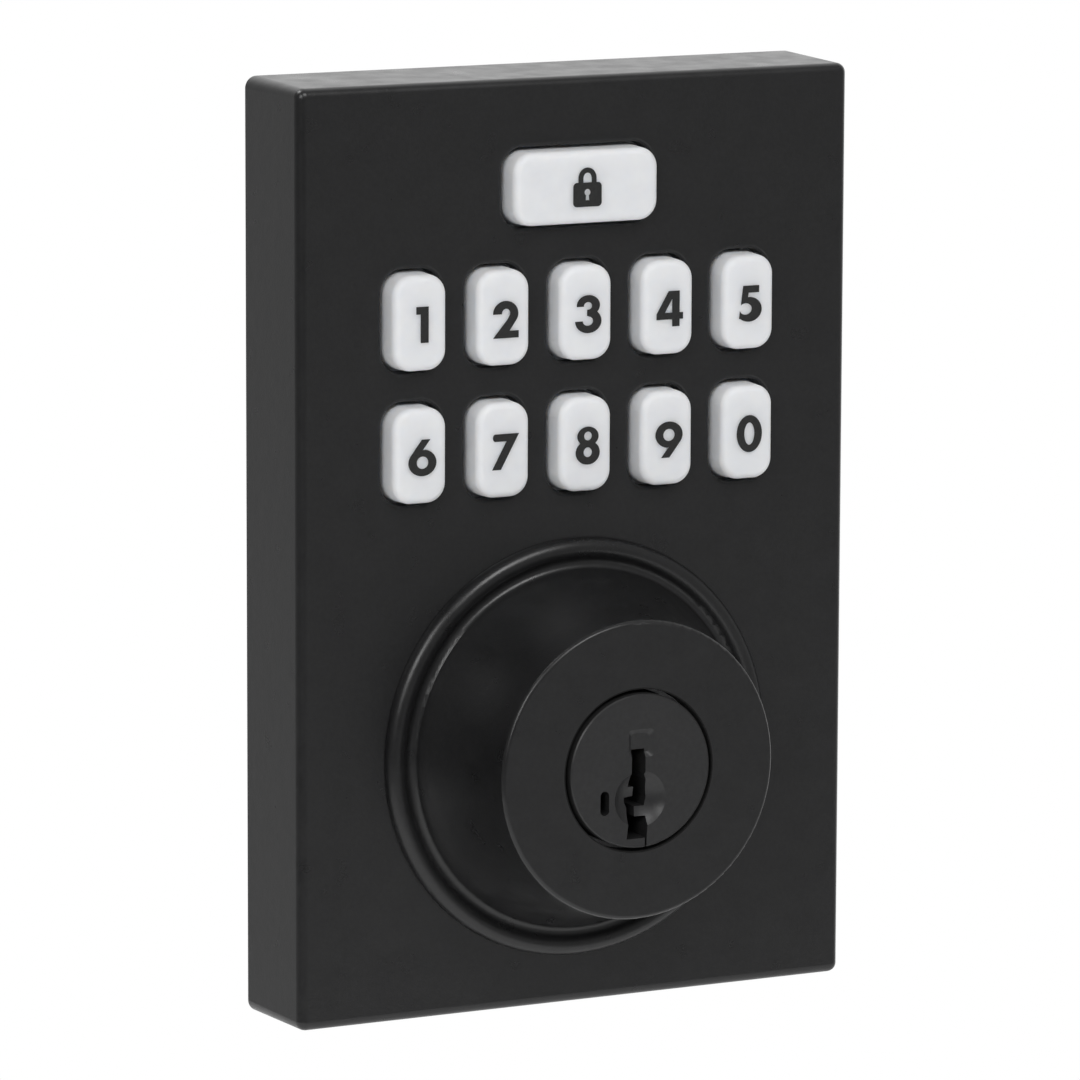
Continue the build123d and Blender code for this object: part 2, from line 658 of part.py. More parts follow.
def pin_chambers():
    """Milled flat, five chambers, and a way from each chamber to its rack."""
    half = 1.35
    cuts = plug_block(PIN_X - half, PIN_X + half, SPRING_COVER_Z, PLUG_R + OVER, *CHAMBER_T)
    rack_half = RACK_T / 2 + 0.15
    for t in pin_times():
        cuts += upright(PIN_R + PIN_PLAY, PIN_X, PLUG_FACE_D - t, PIN_FLOOR_Z, PLUG_R + OVER)
        cuts += plug_block(CARRIAGE_X1 - 0.2, PIN_X, RACK_Z0 - 0.15, RACK_Z1 + 0.15,
                           t - rack_half, t + RACK_SHIFT + rack_half)
    return cuts


def carriage_pocket():
    """Pocket for the carriage, and a blind hole behind it for the return spring."""
    play = 0.12
    cuts = plug_block(CARRIAGE_X0 - 0.15, CARRIAGE_X1 + play, CARRIAGE_Z0 - play, CARRIAGE_Z1 + play,
                      POCKET_T0, POCKET_T1)
    hole = Pos(0, 0, 1.5) * Cylinder(1.1, 3.1)
    return cuts + facing_door(RETURN_X, RETURN_Z, PLUG_FACE_D - POCKET_T1) * hole


def sidebar_slot():
    """Slot for the sidebar's blade, a longer one for its nose, and two spring holes."""
    half = SIDEBAR_HALF + SIDEBAR_PLAY
    cuts = plug_block(-PLUG_R - OVER, CARRIAGE_X0, -half, half, 4.85, 24.15)
    cuts += plug_block(-PLUG_R - OVER, SIDEBAR_STEP_X, -half, half, 2.8, 26.2)
    hole = Pos(0, 0, 1.35) * Cylinder(0.55, 2.7)
    for t in SIDEBAR_SPRING_T:
        cuts += Pos(SIDEBAR_STEP_X - 0.15, -(PLUG_FACE_D - t), 0) * Rot(0, 90, 0) * hole
    return cuts


def plug():
    """The part that the key turns: keyway, pin chambers, carriage pocket and sidebar slot."""
    body = disc(PLUG_R, PLUG_BACK, PLUG_FACE_D)
    body = chamfer(body.faces().sort_by(Axis.Y)[0].edges(), PLUG_CHAMFER)
    clip_half = PLUG_CLIP_T / 2 + 0.05
    body -= ring(PLUG_R + OVER, PLUG_CLIP_ROOT_R, PLUG_CLIP_D - clip_half, PLUG_CLIP_D + clip_half)
    body -= tail_pocket()
    body -= face_details()
    body -= pin_chambers()
    body -= carriage_pocket()
    body -= sidebar_slot()
    for x in GUARD_X:
        body -= upright(GUARD_R + 0.02, x, PLUG_FACE_D - GUARD_T, -0.5, PLUG_R)
    for angle in COVER_SCREW_ANGLES:
        x, z = polar(COVER_SCREW_R, angle)
        body -= disc(0.55, PLUG_BACK - OVER, PLUG_BACK + 2.2, x, z)
    return body


def drill_guards():
    """Two hardened pins across the plug, just behind its face."""
    return merged(upright(GUARD_R, x, PLUG_FACE_D - GUARD_T, -0.4, 7.2) for x in GUARD_X)


def plug_clip():
    """Open ring in a groove of the plug that keeps it from coming out forwards."""
    half = PLUG_CLIP_T / 2
    clip = ring(PLUG_CLIP_R, PLUG_CLIP_ROOT_R + 0.05, PLUG_CLIP_D - half, PLUG_CLIP_D + half)
    mouth = Polyline((0, 0), (8.0, -14.0), (-8.0, -14.0), close=True)
    return clip - slab(make_face(mouth), PLUG_CLIP_D - OVER, PLUG_CLIP_D + OVER)


# ---- pins, racks and carriage
def key_pin(index):
    """A pin with rack teeth turned round it and a nose that rides on the key.

    The grooves stand one tooth pitch apart, and the bottom edge is half a groove.
    """
    half = 0.17
    lead = 0.06
    points = [(0, 0), (PIN_ROOT_R, 0), (PIN_ROOT_R, half - lead), (PIN_R, half)]
    for k in range(PIN_TEETH):
        middle = TOOTH_Z0 + TOOTH_PITCH * k - PIN_FLOOR_Z
        points += [(PIN_R, middle - half), (PIN_ROOT_R, middle - half + lead),
                   (PIN_ROOT_R, middle + half - lead), (PIN_R, middle + half)]
    points += [(PIN_R, PIN_LENGTH - 0.1), (PIN_R - 0.1, PIN_LENGTH), (0, PIN_LENGTH)]
    body = revolve(Plane.XZ * make_face(Polyline(*points, close=True)), Axis.Z)
    nose = Pos(0, 0, -PIN_NOSE / 2) * Cone(0.3, 0.62, PIN_NOSE)
    depth = PLUG_FACE_D - pin_times()[index]
    return Pos(PIN_X, -depth, PIN_BASE_Z) * (body + nose)


def rack(index):
    """A flat plate with teeth towards its pin and a notch towards the sidebar."""
    tip = PIN_X - PIN_ROOT_R - 0.06
    root = PIN_X - PIN_R - 0.10
    half = 0.12
    lead = 0.05
    points = [(RACK_X0, RACK_Z0), (root, RACK_Z0)]
    for k in range(RACK_TEETH):
        middle = TOOTH_Z0 + PIN_REST + TOOTH_PITCH * (k + 1)
        points += [(root, middle - half), (tip, middle - half + lead),
                   (tip, middle + half - lead), (root, middle + half)]
    points += [(root, RACK_Z1), (RACK_X0, RACK_Z1), (RACK_X0, NOTCH_HALF),
               (RACK_X0 + NOTCH_DEEP, 0.0), (RACK_X0, -NOTCH_HALF)]
    middle_t = pin_times()[index] + RACK_SHIFT
    return plug_slab(make_face(Polyline(*points, close=True)), middle_t - RACK_T / 2, middle_t + RACK_T / 2)


def carriage():
    """Holder of the racks; the re-keying tool pushes it back, out of mesh with the pins."""
    end_play = 0.05
    t0 = POCKET_T0 + RACK_SHIFT + end_play
    t1 = POCKET_T1 - end_play
    body = plug_block(CARRIAGE_X0, CARRIAGE_X1, CARRIAGE_Z0, CARRIAGE_Z1, t0, t1)
    play = 0.06
    half = RACK_T / 2 + 0.04
    for t in pin_times():
        middle = t + RACK_SHIFT
        body -= plug_block(RACK_X0 - play, CARRIAGE_X1 + OVER, RACK_Z0 - play, RACK_Z1 + play,
                           middle - half, middle + half)
    way_half = SIDEBAR_HALF + 0.25
    way_end = RACK_X0 + 1.05
    return body - plug_block(CARRIAGE_X0 - OVER, way_end, -way_half, way_half, t0 - OVER, t1 + OVER)


def carriage_spring():
    coil = spring(radius=0.78, wire=0.24, length=RETURN_LENGTH, turns=4)
    return facing_door(RETURN_X, RETURN_Z, PLUG_FACE_D - POCKET_T1) * coil


def pin_spring(index):
    length = SPRING_COVER_Z - (PIN_BASE_Z + PIN_LENGTH)
    coil = spring(radius=0.82, wire=0.22, length=length, turns=6)
    return Pos(PIN_X, -(PLUG_FACE_D - pin_times()[index]), SPRING_COVER_Z - length) * coil


def spring_cover():
    """Strip that closes the tops of the pin chambers."""
    half = 1.3
    top = SPRING_COVER_Z + SPRING_COVER_T
    end_play = 0.1
    return plug_block(PIN_X - half, PIN_X + half, SPRING_COVER_Z, top,
                      CHAMBER_T[0] + end_play, CHAMBER_T[1] - end_play)


def sidebar():
    """Locking bar: its inner edge stands in the racks' notches, its nose just below the plug's skin."""
    shoulder_x = SIDEBAR_EDGE_X - SIDEBAR_HALF
    edge = Polyline((SIDEBAR_STEP_X, SIDEBAR_HALF), (shoulder_x, SIDEBAR_HALF), (SIDEBAR_EDGE_X, 0),
                    (shoulder_x, -SIDEBAR_HALF), (SIDEBAR_STEP_X, -SIDEBAR_HALF), close=True)
    bevel = 0.35
    nose = Polyline((SIDEBAR_STEP_X, SIDEBAR_HALF), (SIDEBAR_NOSE_X + bevel, SIDEBAR_HALF),
                    (SIDEBAR_NOSE_X, SIDEBAR_HALF - bevel), (SIDEBAR_NOSE_X, bevel - SIDEBAR_HALF),
                    (SIDEBAR_NOSE_X + bevel, -SIDEBAR_HALF), (SIDEBAR_STEP_X, -SIDEBAR_HALF), close=True)
    return plug_slab(make_face(edge), *SIDEBAR_BLADE_T) + plug_slab(make_face(nose), *SIDEBAR_NOSE_T)


def sidebar_springs():
    coil = spring(radius=0.36, wire=0.16, length=2.5, turns=5)
    start_x = SIDEBAR_STEP_X + 0.02
    return merged(Pos(start_x, -(PLUG_FACE_D - t), 0) * Rot(0, 90, 0) * coil for t in SIDEBAR_SPRING_T)


# ---- tailpiece
def tailpiece():
    """Flat blade to the bolt, on a round head whose lug turns in the plug's pocket."""
    head_back = PLUG_BACK + 0.15
    outline = Circle(TAIL_HEAD_R) + sector(TAIL_LUG_R, -TAIL_LUG_HALF, TAIL_LUG_HALF)
    head = slab(outline, head_back, head_back + TAIL_HEAD_T)
    blade = slab(Rectangle(TAIL_T, TAIL_W), -TAIL_END, head_back)
    tip = blade.faces().sort_by(Axis.Y)[-1]
    return head + chamfer(tip.edges(), 0.5)


def tail_cover():
    """Washer on the plug's rear face that keeps the tailpiece's head in its pocket."""
    cover = ring(COVER_R, COVER_HOLE_R, PLUG_BACK - COVER_T, PLUG_BACK)
    for angle in COVER_SCREW_ANGLES:
        x, z = polar(COVER_SCREW_R, angle)
        cover -= disc(0.85, PLUG_BACK - COVER_T - OVER, PLUG_BACK + OVER, x, z)
    return cover


def cover_screws():
    screw = pan_screw(head_r=1.1, head_t=0.6, shank_r=0.55, length=2.9, cross=1.1)
    places = [polar(COVER_SCREW_R, angle) for angle in COVER_SCREW_ANGLES]
    return merged(facing_door(x, z, PLUG_BACK - COVER_T) * screw for x, z in places)


# ---- all pieces
def nodes():
    """Every separate piece, by name."""
    made = {"housing": housing(), "rear_seal": seal_shape(0.05)}
    for name, (x, z) in KEY_PLACES.items():
        made["key_" + name] = key_cap(x, z, KEY_W, KEY_H)
    made["lock_button"] = key_cap(0.0, LOCK_Z, LOCK_W, LOCK_H)
    made["backlight_leds"] = leds()
    for index in range(PIN_COUNT):
        number = str(index + 1)
        made["key_pin_" + number] = key_pin(index)
        made["rack_" + number] = rack(index)
        made["pin_spring_" + number] = pin_spring(index)
    singles = [
        key_frame, dome_sheet, contact_domes, keypad_board, board_screws, controller_chips,
        board_capacitors, sounder, cable_socket, back_plate, plate_screws, mounting_posts,
        cable_grommet, cylinder_bracket, bracket_screws, cylinder_shell, face_seal, plug, carriage,
        carriage_spring, sidebar, sidebar_springs, spring_cover, drill_guards, plug_clip, tailpiece,
        tail_cover, cover_screws,
    ]
    for make in singles:
        made[make.__name__] = make()
    return made


os.makedirs("parts", exist_ok=True)
for node_name, node_shape in nodes().items():
    export_step(node_shape, "parts/" + node_name + ".step")
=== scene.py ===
"""Looks of the keypad deadbolt: materials, printed digits, studio light and camera."""
import json
import math

import bmesh
import bpy
from mathutils import Matrix, Vector


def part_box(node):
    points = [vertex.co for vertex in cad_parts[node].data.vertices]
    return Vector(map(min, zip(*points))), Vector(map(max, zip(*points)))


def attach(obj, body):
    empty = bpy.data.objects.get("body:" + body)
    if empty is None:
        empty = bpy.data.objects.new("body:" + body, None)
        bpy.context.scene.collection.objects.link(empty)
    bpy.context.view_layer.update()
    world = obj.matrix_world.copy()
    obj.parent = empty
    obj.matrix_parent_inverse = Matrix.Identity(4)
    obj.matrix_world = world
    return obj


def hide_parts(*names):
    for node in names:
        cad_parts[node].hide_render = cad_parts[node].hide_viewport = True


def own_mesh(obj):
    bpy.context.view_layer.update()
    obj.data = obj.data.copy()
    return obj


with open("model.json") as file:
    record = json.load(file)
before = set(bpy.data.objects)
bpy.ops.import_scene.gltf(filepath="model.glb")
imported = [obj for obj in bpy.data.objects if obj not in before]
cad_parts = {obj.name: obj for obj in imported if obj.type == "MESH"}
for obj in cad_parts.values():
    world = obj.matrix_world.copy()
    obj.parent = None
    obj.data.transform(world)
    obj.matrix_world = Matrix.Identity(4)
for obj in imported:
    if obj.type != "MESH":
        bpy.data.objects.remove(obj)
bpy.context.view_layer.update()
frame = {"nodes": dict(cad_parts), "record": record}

MM = 0.001

# ---- camera: a long lens, a little to the left of the lock and above it
VIEW_YAW = math.radians(27.05)
VIEW_PITCH = math.radians(9.52)
VIEW_ROLL = math.radians(0.20)
VIEW_DISTANCE = 771.2 * MM
VIEW_RIGHT = -3.92 * MM
VIEW_UP = 0.43 * MM
LENS_MM = 238.8
SENSOR_MM = 36.0
KEY_PROUD = 2.2           # how far a key's top stands out of the housing's front face, in millimetres

# ---- studio: strength of the surroundings by direction, and the three lights
FRONT_LEFT = 0.12
FRONT_RIGHT = 0.36
BEHIND_LEFT = 0.27
BEHIND_RIGHT = 1.15
FRONT_BLEND = (-0.3, 0.5)  # sideways directions between which the front goes from left to right
BEHIND_BLEND = (-0.6, 0.2)
DEPTH_BLEND = (-0.15, 0.35)  # and between which front goes over into behind
LIGHT_AIM = (0.0, 0.0, 0.02)
LIGHTS = [                # name, place, size and power
    ("front", (0.1, -1.6, 1.6), 0.9, 18.5),
    ("top_left", (-0.42, 0.42, 1.05), 0.45, 5.5),
    ("left", (-1.25, -1.15, 0.9), 0.8, 12.0),
]
FLOOR_R = 1.0
FLOOR_Z = -0.35

# ---- digits, in millimetres
INK_T = 0.03
DIGIT_RIGHT = 0.17
DIGIT_DOWN = 0.15
ARC_STEP = 9.0

# ---- the plug and the hole it turns in, in millimetres from the cylinder's axis; the gap between them carries painted shade
HOLE_EDGE_R = 9.0
PLUG_EDGE_R = 8.25

# ---- the silicone domes, in millimetres
DOME_RISE = 1.2
DOME_STEPS = 48
DOME_PROFILE = [          # radius and height, from the foot up
    (2.70, 0.0), (2.55, 0.05), (2.40, 0.22), (2.08, 0.62), (1.88, 0.98), (1.76, 1.14), (1.60, 1.2),
]


def add_piece(name, mesh, body):
    """A new object that holds the mesh and moves with the body."""
    piece = bpy.data.objects.new(name, mesh)
    bpy.context.scene.collection.objects.link(piece)
    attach(piece, body)
    return piece


# ---- outlines of the print
def arc(cx, cy, rx, ry, start, end):
    """Points along an ellipse, from one angle to another in degrees, either way round."""
    count = max(2, int(abs(end - start) / ARC_STEP))
    angles = [math.radians(start + (end - start) * i / count) for i in range(count + 1)]
    return [(cx + rx * math.cos(a), cy + ry * math.sin(a)) for a in angles]


def ring_of(cx, cy, rx, ry):
    """Points round a whole ellipse, each once."""
    return arc(cx, cy, rx, ry, 0, 360)[:-1]


def turned_over(loops, width, height):
    """The loops turned by half a turn within their box."""
    return [[(width - x, height - y) for x, y in loop] for loop in loops]


def digit_loops():
    """Outline and holes of each digit: a bold geometric face drawn from lines and ellipse arcs."""
    six = [
        [(1.60, 3.85), (2.60, 3.85), (1.68, 2.72)] + arc(1.65, 1.36, 1.65, 1.43, 78, -210),
        ring_of(1.66, 1.38, 0.69, 0.66),
    ]
    return {
        "1": [[(0.0, 3.85), (1.45, 3.85), (1.45, 0.0), (0.52, 0.0), (0.52, 3.05), (0.0, 3.05)]],
        "2": [
            [(0.0, 0.0), (3.05, 0.0), (3.05, 0.76), (1.95, 0.76)]
            + arc(1.50, 2.62, 1.50, 1.36, -35, 182)
            + arc(1.55, 2.64, 0.49, 0.50, 188, -20)
            + [(1.65, 1.89)]
        ],
        "3": [
            arc(1.58, 2.90, 1.39, 1.12, 185, -40)
            + arc(1.58, 1.22, 1.58, 1.30, 45, -180)
            + arc(1.53, 1.22, 0.62, 0.50, 180, 420)
            + [(1.43, 1.79), (1.43, 2.43)]
            + arc(1.53, 2.85, 0.49, 0.42, -60, 188)
        ],
        "4": [
            [(1.90, 0.0), (2.80, 0.0), (2.80, 0.78), (3.22, 0.78), (3.22, 1.50), (2.80, 1.50),
             (2.80, 3.85), (1.46, 3.85), (0.0, 1.38), (0.0, 0.78), (1.90, 0.78)],
            [(1.90, 1.50), (1.90, 3.00), (1.00, 1.50)],
        ],
        "5": [
            [(0.49, 3.85), (2.45, 3.85), (2.45, 3.08), (1.15, 3.08), (1.08, 2.60)]
            + arc(1.20, 1.27, 1.58, 1.35, 86, -132)
            + [(0.0, 0.28), (0.10, 1.12)]
            + arc(0.80, 1.33, 0.76, 0.62, -140, 140)
        ],
        "6": six,
        "7": [
            [(0.0, 0.0), (1.05, 0.0), (3.20, 3.85), (0.40, 3.85)]
            + arc(0.40, 3.45, 0.30, 0.40, 100, 260)
            + [(1.72, 3.05)]
        ],
        "8": [
            arc(1.45, 1.22, 1.45, 1.30, 130, 410) + arc(1.47, 2.98, 1.28, 1.05, -44, 224),
            ring_of(1.45, 1.26, 0.50, 0.53),
            ring_of(1.47, 3.02, 0.46, 0.48),
        ],
        "9": turned_over(six, 3.30, 3.80),
        "0": [ring_of(1.55, 1.93, 1.55, 2.03), ring_of(1.55, 1.93, 0.62, 1.22)],
    }


def lock_mark_loops():
    """A plain padlock sign: rounded body with a keyhole, and a shackle."""
    body = (
        arc(0.45, 0.45, 0.45, 0.45, 270, 180) + arc(0.45, 2.15, 0.45, 0.45, 180, 90)
        + [(0.62, 2.60)] + arc(1.70, 3.05, 1.08, 1.15, 180, 0) + [(2.78, 2.60)]
        + arc(2.95, 2.15, 0.45, 0.45, 90, 0) + arc(2.95, 0.45, 0.45, 0.45, 0, -90)
    )
    shackle = [(1.20, 2.60)] + arc(1.70, 3.05, 0.50, 0.60, 180, 0) + [(2.20, 2.60)]
    hole = arc(1.70, 1.55, 0.36, 0.36, -60, 240) + [(1.48, 0.70), (1.92, 0.70)]
    return [body, shackle, hole]


def printed(name, loops, centre_x, centre_z, front_y, body, material):
    """Flat ink on a key's top: the loops are filled, given a thickness and set on the key."""
    xs = [x for loop in loops for x, _ in loop]
    ys = [y for loop in loops for _, y in loop]
    mid_x = (min(xs) + max(xs)) / 2
    mid_y = (min(ys) + max(ys)) / 2
    curve = bpy.data.curves.new(name, "CURVE")
    curve.dimensions = "2D"
    curve.fill_mode = "BOTH"
    curve.extrude = INK_T * MM
    for loop in loops:
        spline = curve.splines.new("POLY")
        spline.points.add(len(loop) - 1)
        for point, (x, y) in zip(spline.points, loop):
            point.co = ((x - mid_x) * MM, (y - mid_y) * MM, 0.0, 1.0)
        spline.use_cyclic_u = True
    holder = bpy.data.objects.new(name + "_outline", curve)
    bpy.context.scene.collection.objects.link(holder)
    bpy.context.view_layer.update()
    mesh = bpy.data.meshes.new_from_object(holder.evaluated_get(bpy.context.evaluated_depsgraph_get()))
    bpy.data.objects.remove(holder)
    mesh.transform(Matrix.Translation((centre_x, front_y, centre_z)) @ Matrix.Rotation(math.pi / 2, 4, "X"))
    mesh.name = name
    mesh.materials.clear()
    mesh.materials.append(material)
    piece = add_piece(name, mesh, body)


# ---- materials
class Shader:
    """One material's nodes, with short calls for what every material here needs."""

    def __init__(self, name):
        self.material = bpy.data.materials.new(name)
        self.material.use_nodes = True
        self.tree = self.material.node_tree
        self.bsdf = self.tree.nodes["Principled BSDF"]
        self.place = self.node("ShaderNodeTexCoord").outputs["Object"]

    def node(self, kind, **values):
        made = self.tree.nodes.new(kind)
        for key, value in values.items():
            setattr(made, key, value)
        return made

    def link(self, source, target):
        self.tree.links.new(source, target)

    def set(self, **values):
        names = {
            "metallic": "Metallic", "roughness": "Roughness", "ior": "IOR",
            "subsurface": "Subsurface Weight", "subsurface_scale": "Subsurface Scale",
        }
        for key, value in values.items():
            self.bsdf.inputs[names[key]].default_value = value

    def axis_distance(self):
        """Distance from the cylinder's axis, in metres."""
        parts = self.node("ShaderNodeSeparateXYZ")
        self.link(self.place, parts.inputs["Vector"])
        across = self.node("ShaderNodeCombineXYZ")
        self.link(parts.outputs["X"], across.inputs["X"])
        self.link(parts.outputs["Z"], across.inputs["Y"])
        length = self.node("ShaderNodeVectorMath", operation="LENGTH")
        self.link(across.outputs["Vector"], length.inputs[0])
        return length.outputs["Value"]

    def noise(self, size_mm, detail=3.0, roughness=0.5, stretch=None):
        """Noise whose lumps are about size_mm across; stretch lengthens them along the axes."""
        texture = self.node("ShaderNodeTexNoise")
        texture.inputs["Scale"].default_value = 1.0 / (size_mm * MM)
        texture.inputs["Detail"].default_value = detail
        texture.inputs["Roughness"].default_value = roughness
        if stretch:
            mapping = self.node("ShaderNodeMapping")
            mapping.inputs["Scale"].default_value = stretch
            self.link(self.place, mapping.inputs["Vector"])
            self.link(mapping.outputs["Vector"], texture.inputs["Vector"])
        else:
            self.link(self.place, texture.inputs["Vector"])
        return texture.outputs["Fac"]

    def spread(self, source, low, high, start=0.3, end=0.7):
        """Maps a 0..1 value onto low..high."""
        ranged = self.node("ShaderNodeMapRange")
        ranged.inputs["From Min"].default_value = start
        ranged.inputs["From Max"].default_value = end
        ranged.inputs["To Min"].default_value = low
        ranged.inputs["To Max"].default_value = high
        self.link(source, ranged.inputs["Value"])
        return ranged.outputs["Result"]

    def blend(self, factor, first, second):
        mix = self.node("ShaderNodeMix", data_type="RGBA")
        self.link(factor, mix.inputs["Factor"])
        for socket, colour in ((mix.inputs[6], first), (mix.inputs[7], second)):
            if isinstance(colour, tuple):
                socket.default_value = (*colour, 1.0)
            else:
                self.link(colour, socket)
        return mix.outputs[2]

    def colour(self, source):
        if isinstance(source, tuple):
            self.bsdf.inputs["Base Color"].default_value = (*source, 1.0)
        else:
            self.link(source, self.bsdf.inputs["Base Color"])

    def rough(self, source):
        self.link(source, self.bsdf.inputs["Roughness"])

    def bumps(self, *layers):
        """Bump layers, each a height source and a depth in millimetres."""
        normal = None
        for height, depth_mm in layers:
            bump = self.node("ShaderNodeBump")
            bump.inputs["Strength"].default_value = 1.0
            bump.inputs["Distance"].default_value = depth_mm * MM
            self.link(height, bump.inputs["Height"])
            if normal is not None:
                self.link(normal, bump.inputs["Normal"])
            normal = bump.outputs["Normal"]
        self.link(normal, self.bsdf.inputs["Normal"])


def coated_black(name, base, roughness, gap_start, gap_end):
    """Powder coat: a fine, even grain under a slow waviness, a little lighter where it is thick.

    Between the two radii it is painted near black and turns dull: painted shade for the gap round the plug,
    where little light gets in.
    """
    shade = Shader(name)
    lighter = tuple(c * 1.35 for c in base)
    coat = shade.blend(shade.spread(shade.noise(0.5, 2.0), 0.0, 1.0), base, lighter)
    shaded_gap_band = shade.spread(shade.axis_distance(), 0.0, 1.0, gap_start * MM, gap_end * MM)
    # painted shade: near-black colour across the gap band round the plug
    shade.colour(shade.blend(shaded_gap_band, coat, (0.001, 0.001, 0.001)))
    sheen = shade.spread(shade.noise(3.0, 3.0), roughness - 0.04, roughness + 0.05)
    dull = shade.node("ShaderNodeMath", operation="MAXIMUM")
    shade.link(sheen, dull.inputs[0])
    shade.link(shaded_gap_band, dull.inputs[1])
    shade.rough(dull.outputs["Value"])
    shade.bumps((shade.noise(0.22, 2.0), 0.010), (shade.noise(1.4, 2.0), 0.012))
    shade.set(ior=1.5)
    return shade.material


def key_plastic():
    """Milky moulded plastic: light soaks in a little, with a faint moulding haze."""
    shade = Shader("key_plastic")
    clear = (0.86, 0.87, 0.90)
    milky = (0.90, 0.91, 0.935)
    shade.colour(shade.blend(shade.spread(shade.noise(2.5, 2.0), 0.0, 1.0), clear, milky))
    shade.rough(shade.spread(shade.noise(1.2, 3.0), 0.40, 0.50))
    shade.bumps((shade.noise(0.12, 2.0), 0.002))
    shade.set(ior=1.49, subsurface=1.0, subsurface_scale=1.8 * MM)
    shade.bsdf.inputs["Subsurface Radius"].default_value = (1.0, 0.95, 0.9)
    return shade.material


def ink():
    """Pad-printed black ink with a slightly uneven film."""
    shade = Shader("ink")
    thin = (0.018, 0.018, 0.018)
    thick = (0.010, 0.010, 0.010)
    shade.colour(shade.blend(shade.spread(shade.noise(0.3, 3.0), 0.0, 1.0), thick, thin))
    shade.rough(shade.spread(shade.noise(0.2, 2.0), 0.42, 0.55))
    shade.bumps((shade.noise(0.10, 2.0), 0.002))
    return shade.material


def metal(name, base, roughness, grain_mm, stretch=None, depth=0.003):
    """Bare or plated metal: brushed where the grain is stretched, cast or tumbled where it is not."""
    shade = Shader(name)
    darker = tuple(c * 0.72 for c in base)
    shade.colour(shade.blend(shade.spread(shade.noise(2.2, 4.0, 0.6), 0.0, 1.0), darker, base))
    grain = shade.noise(grain_mm, 3.0, 0.6, stretch)
    shade.rough(shade.spread(grain, roughness - 0.08, roughness + 0.10))
    shade.bumps((grain, depth))
    shade.set(metallic=1.0)
    return shade.material


def moulded(name, base, roughness, grain_mm=0.25, depth=0.006, **extra):
    """Moulded plastic or rubber with a fine surface grain."""
    shade = Shader(name)
    darker = tuple(c * 0.82 for c in base)
    shade.colour(shade.blend(shade.spread(shade.noise(1.8, 3.0), 0.0, 1.0), darker, base))
    shade.rough(shade.spread(shade.noise(0.9, 3.0), roughness - 0.06, roughness + 0.06))
    shade.bumps((shade.noise(grain_mm, 2.0), depth))
    shade.set(**extra)
    return shade.material


MATERIALS = {
    # the last two numbers of each black are the radii of the painted shade in the gap round the plug
    "housing_black": lambda: coated_black(
        "housing_black", (0.0088, 0.0088, 0.0092), 0.31, HOLE_EDGE_R, HOLE_EDGE_R - 0.1),
    "plug_black": lambda: coated_black(
        "plug_black", (0.014, 0.014, 0.0145), 0.40, PLUG_EDGE_R, PLUG_EDGE_R + 0.08),
    "key_plastic": key_plastic,
    "seal_rubber": lambda: moulded("seal_rubber", (0.016, 0.016, 0.017), 0.75),
    "silicone": lambda: moulded(
        "silicone", (0.70, 0.71, 0.69), 0.45, subsurface=0.3, subsurface_scale=1.5 * MM),
    "frame_plastic": lambda: moulded("frame_plastic", (0.022, 0.022, 0.023), 0.55, 0.3, 0.012),
    "board": lambda: moulded("board", (0.008, 0.075, 0.028), 0.30, 0.5, 0.003),
    "snap_steel": lambda: metal("snap_steel", (0.74, 0.73, 0.70), 0.22, 0.4),
    "led_lens": lambda: moulded("led_lens", (0.86, 0.83, 0.62), 0.20),
    "chip_black": lambda: moulded("chip_black", (0.018, 0.018, 0.019), 0.60, 0.15, 0.008),
    "capacitor": lambda: moulded("capacitor", (0.33, 0.20, 0.09), 0.40),
    "socket_plastic": lambda: moulded("socket_plastic", (0.72, 0.68, 0.54), 0.38),
    "plate_steel": lambda: metal("plate_steel", (0.58, 0.59, 0.60), 0.36, 0.25, (1.0, 1.0, 0.04), 0.004),
    "post_steel": lambda: metal("post_steel", (0.60, 0.60, 0.58), 0.28, 0.12, (0.05, 1.0, 0.05)),
    "screw_steel": lambda: metal("screw_steel", (0.52, 0.52, 0.52), 0.30, 0.15),
    "spring_steel": lambda: metal("spring_steel", (0.50, 0.50, 0.51), 0.25, 0.2),
    "shell_zinc": lambda: metal("shell_zinc", (0.50, 0.50, 0.51), 0.48, 0.35, None, 0.010),
    "brass": lambda: metal("brass", (0.72, 0.50, 0.20), 0.28, 0.15, (0.05, 0.05, 1.0)),
    "tail_steel": lambda: metal("tail_steel", (0.62, 0.62, 0.60), 0.33, 0.20, (1.0, 0.03, 1.0), 0.004),
}


def dress_nodes():
    """Gives every CAD node the material of its slot."""
    made = {slot: make() for slot, make in MATERIALS.items()}
    for entry in frame["record"]["subparts"]:
        node = frame["nodes"][entry["node"]]
        node.data.materials.clear()
        node.data.materials.append(made[entry["material_slot"]])
    return made


def print_keys(material):
    """Digits on the ten keys and a padlock sign on the wide one."""
    for digit, loops in digit_loops().items():
        low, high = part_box("key_" + digit)
        centre_x = (low.x + high.x) / 2 + DIGIT_RIGHT * MM
        centre_z = (low.z + high.z) / 2 - DIGIT_DOWN * MM
        printed("digit_" + digit, loops, centre_x, centre_z, low.y, "digit_key_" + digit, material)
    low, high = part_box("lock_button")
    centre_x = (low.x + high.x) / 2
    centre_z = (low.z + high.z) / 2
    printed("lock_mark", lock_mark_loops(), centre_x, centre_z, low.y, "lock_key", material)


# ---- springs and domes as pieces of their own
def yielding_springs():
    """Each pin's spring as a mesh of its own, carried with the turning plug in place of the CAD node."""
    for number in "12345":
        node = "pin_spring_" + number
        spring = add_piece("coil_of_pin_" + number, frame["nodes"][node].data.copy(), "turning_plug")
        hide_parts(node)
        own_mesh(spring)


